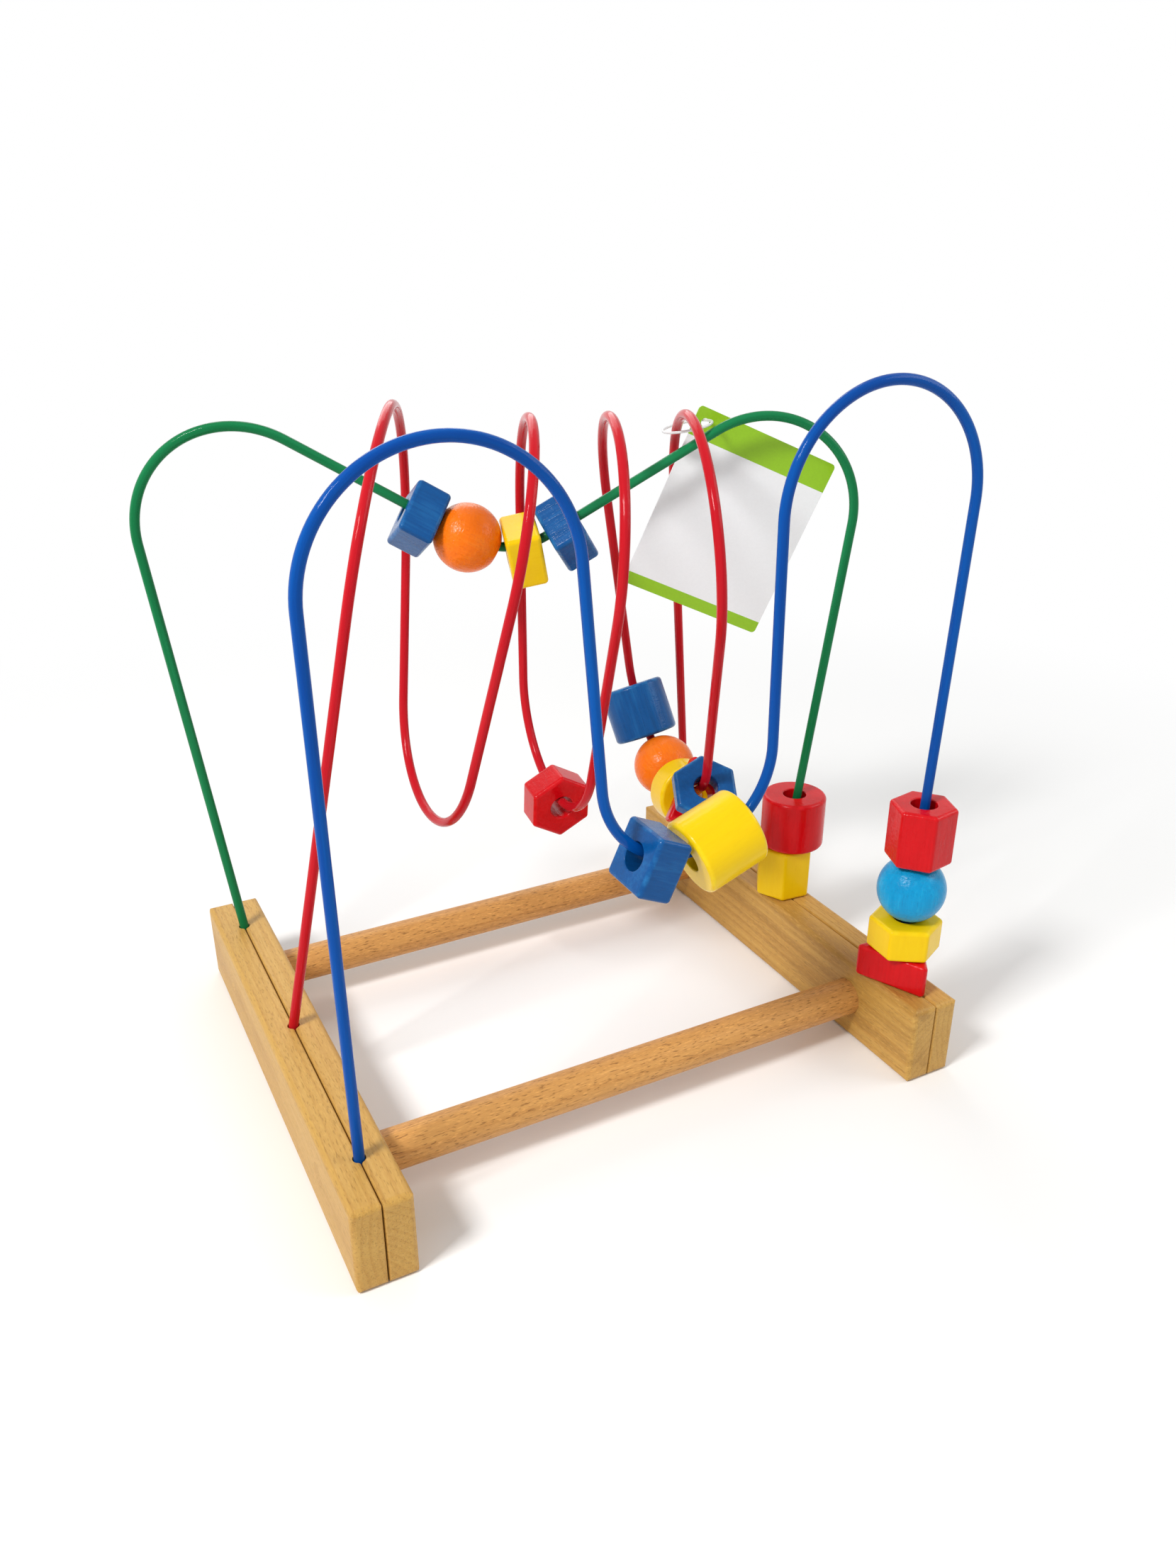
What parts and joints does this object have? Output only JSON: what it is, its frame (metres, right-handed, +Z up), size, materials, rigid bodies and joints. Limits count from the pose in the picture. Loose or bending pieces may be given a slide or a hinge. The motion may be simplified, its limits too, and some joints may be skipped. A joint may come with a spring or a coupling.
{
  "type": "bead maze",
  "caption": "Wooden bead maze: slatted rails joined by dowels carry three looping coated wires, with stained balls, drums, squares, hexagons and triangles that slide along them.",
  "frame": {"origin": "Centre of the footprint, on the ground under the rails", "axes": "+X along the dowels towards the rail with the standing beads, +Y from the front to the back along the rails, +Z up"},
  "size_m": [0.3178, 0.25, 0.3203],
  "materials": {
    "beech": "clear satin lacquer over straight grain",
    "beech_plug": "clear satin lacquer over end grain",
    "zinc_screw": "zinc plated",
    "green_coat": "glossy plastic coat on steel wire",
    "red_coat": "glossy plastic coat on steel wire",
    "blue_coat": "glossy plastic coat on steel wire",
    "blue_stain": "satin stain with the grain showing",
    "red_stain": "satin stain with the grain showing",
    "yellow_stain": "satin stain",
    "orange_stain": "satin stain",
    "sky_stain": "satin stain with the grain showing",
    "white_card": "plain laminated card with a green band at top and bottom",
    "white_nylon": "translucent white nylon"
  },
  "bodies": {
    "base": {"left_outer_slat": "beech", "left_inner_slat": "beech", "right_inner_slat": "beech", "right_outer_slat": "beech", "front_dowel": "beech", "back_dowel": "beech", "frame_screws": "zinc_screw", "screw_plugs": "beech_plug", "green_wire": "green_coat", "red_wire": "red_coat", "blue_wire": "blue_coat", "tag_loop": "white_nylon"},
    "green_bead_1": {"green_bead_1": "blue_stain"},
    "green_bead_2": {"green_bead_2": "orange_stain"},
    "green_bead_3": {"green_bead_3": "yellow_stain"},
    "green_bead_4": {"green_bead_4": "blue_stain"},
    "green_bead_5": {"green_bead_5": "red_stain"},
    "green_bead_6": {"green_bead_6": "yellow_stain"},
    "red_bead_1": {"red_bead_1": "red_stain"},
    "red_bead_2": {"red_bead_2": "blue_stain"},
    "red_bead_3": {"red_bead_3": "orange_stain"},
    "red_bead_4": {"red_bead_4": "yellow_stain"},
    "red_bead_5": {"red_bead_5": "red_stain"},
    "red_bead_6": {"red_bead_6": "blue_stain"},
    "blue_bead_1": {"blue_bead_1": "blue_stain"},
    "blue_bead_2": {"blue_bead_2": "yellow_stain"},
    "blue_bead_3": {"blue_bead_3": "red_stain"},
    "blue_bead_4": {"blue_bead_4": "sky_stain"},
    "blue_bead_5": {"blue_bead_5": "yellow_stain"},
    "blue_bead_6": {"blue_bead_6": "red_stain"},
    "hang_tag": {"hang_tag": "white_card"}
  },
  "joints": [
    {"name": "green_2_up_slope", "type": "slide", "parent": "base", "child": "green_bead_2", "axis": [-0.8148, 0.2927, 0.5005], "range_m": [0, 0.02]},
    {"name": "green_1_up_slope", "type": "slide", "parent": "green_bead_2", "child": "green_bead_1", "axis": [-0.8148, 0.2927, 0.5005], "range_m": [0, 0.03]},
    {"name": "green_3_up_slope", "type": "slide", "parent": "base", "child": "green_bead_3", "axis": [0.8148, -0.2927, 0.5005], "range_m": [0, 0.012]},
    {"name": "green_4_up_slope", "type": "slide", "parent": "green_bead_3", "child": "green_bead_4", "axis": [0.8148, -0.2927, 0.5005], "range_m": [0, 0.022]},
    {"name": "green_6_up_leg", "type": "slide", "parent": "base", "child": "green_bead_6", "axis": [0.106, -0.0381, 0.9936], "range_m": [0, 0.02]},
    {"name": "green_5_up_leg", "type": "slide", "parent": "green_bead_6", "child": "green_bead_5", "axis": [0.106, -0.0381, 0.9936], "range_m": [0, 0.06]},
    {"name": "red_1_along_trough", "type": "hinge", "parent": "base", "child": "red_bead_1", "pos_m": [0.01502, 0.03089, 0.15349], "axis": [-0.9964, 0.079, -0.0318], "range_deg": [-25, 25]},
    {"name": "red_2_up_trough", "type": "hinge", "parent": "base", "child": "red_bead_2", "pos_m": [0.07141, 0.0207, 0.15269], "axis": [-0.9715, 0.1244, -0.202], "range_deg": [-15, 0]},
    {"name": "red_3_along_trough", "type": "hinge", "parent": "base", "child": "red_bead_3", "pos_m": [0.07141, 0.0207, 0.15269], "axis": [-0.9715, 0.1244, -0.202], "range_deg": [0, 8]},
    {"name": "red_4_along_trough", "type": "hinge", "parent": "red_bead_3", "child": "red_bead_4", "pos_m": [0.07141, 0.0207, 0.15269], "axis": [-0.9715, 0.1244, -0.202], "range_deg": [0, 3]},
    {"name": "red_5_along_trough", "type": "hinge", "parent": "red_bead_4", "child": "red_bead_5", "pos_m": [0.07141, 0.0207, 0.15269], "axis": [-0.9715, 0.1244, -0.202], "range_deg": [0, 3]},
    {"name": "red_6_along_trough", "type": "hinge", "parent": "red_bead_5", "child": "red_bead_6", "pos_m": [0.07141, 0.0207, 0.15269], "axis": [-0.9715, 0.1244, -0.202], "range_deg": [0, 7]},
    {"name": "blue_1_along_trough", "type": "hinge", "parent": "base", "child": "blue_bead_1", "pos_m": [0.0111, -0.097, 0.17801], "axis": [0, -1, 0], "range_deg": [-30, 20]},
    {"name": "blue_2_along_trough", "type": "hinge", "parent": "blue_bead_1", "child": "blue_bead_2", "pos_m": [0.0111, -0.097, 0.17801], "axis": [0, -1, 0], "range_deg": [0, 25]},
    {"name": "blue_6_up_leg", "type": "slide", "parent": "base", "child": "blue_bead_6", "axis": [0.0413, 0, 0.9991], "range_m": [0, 0.012]},
    {"name": "blue_5_up_leg", "type": "slide", "parent": "blue_bead_6", "child": "blue_bead_5", "axis": [0.0413, 0, 0.9991], "range_m": [0, 0.012]},
    {"name": "blue_4_up_leg", "type": "slide", "parent": "blue_bead_5", "child": "blue_bead_4", "axis": [0.0413, 0, 0.9991], "range_m": [0, 0.012]},
    {"name": "blue_3_up_leg", "type": "slide", "parent": "blue_bead_4", "child": "blue_bead_3", "axis": [0.0413, 0, 0.9991], "range_m": [0, 0.06]},
    {"name": "tag_swing", "type": "hinge", "parent": "base", "child": "hang_tag", "pos_m": [0.09315, 0.02822, 0.28732], "axis": [-0.3381, -0.9411, 0], "range_deg": [0, 12]}
  ]
}
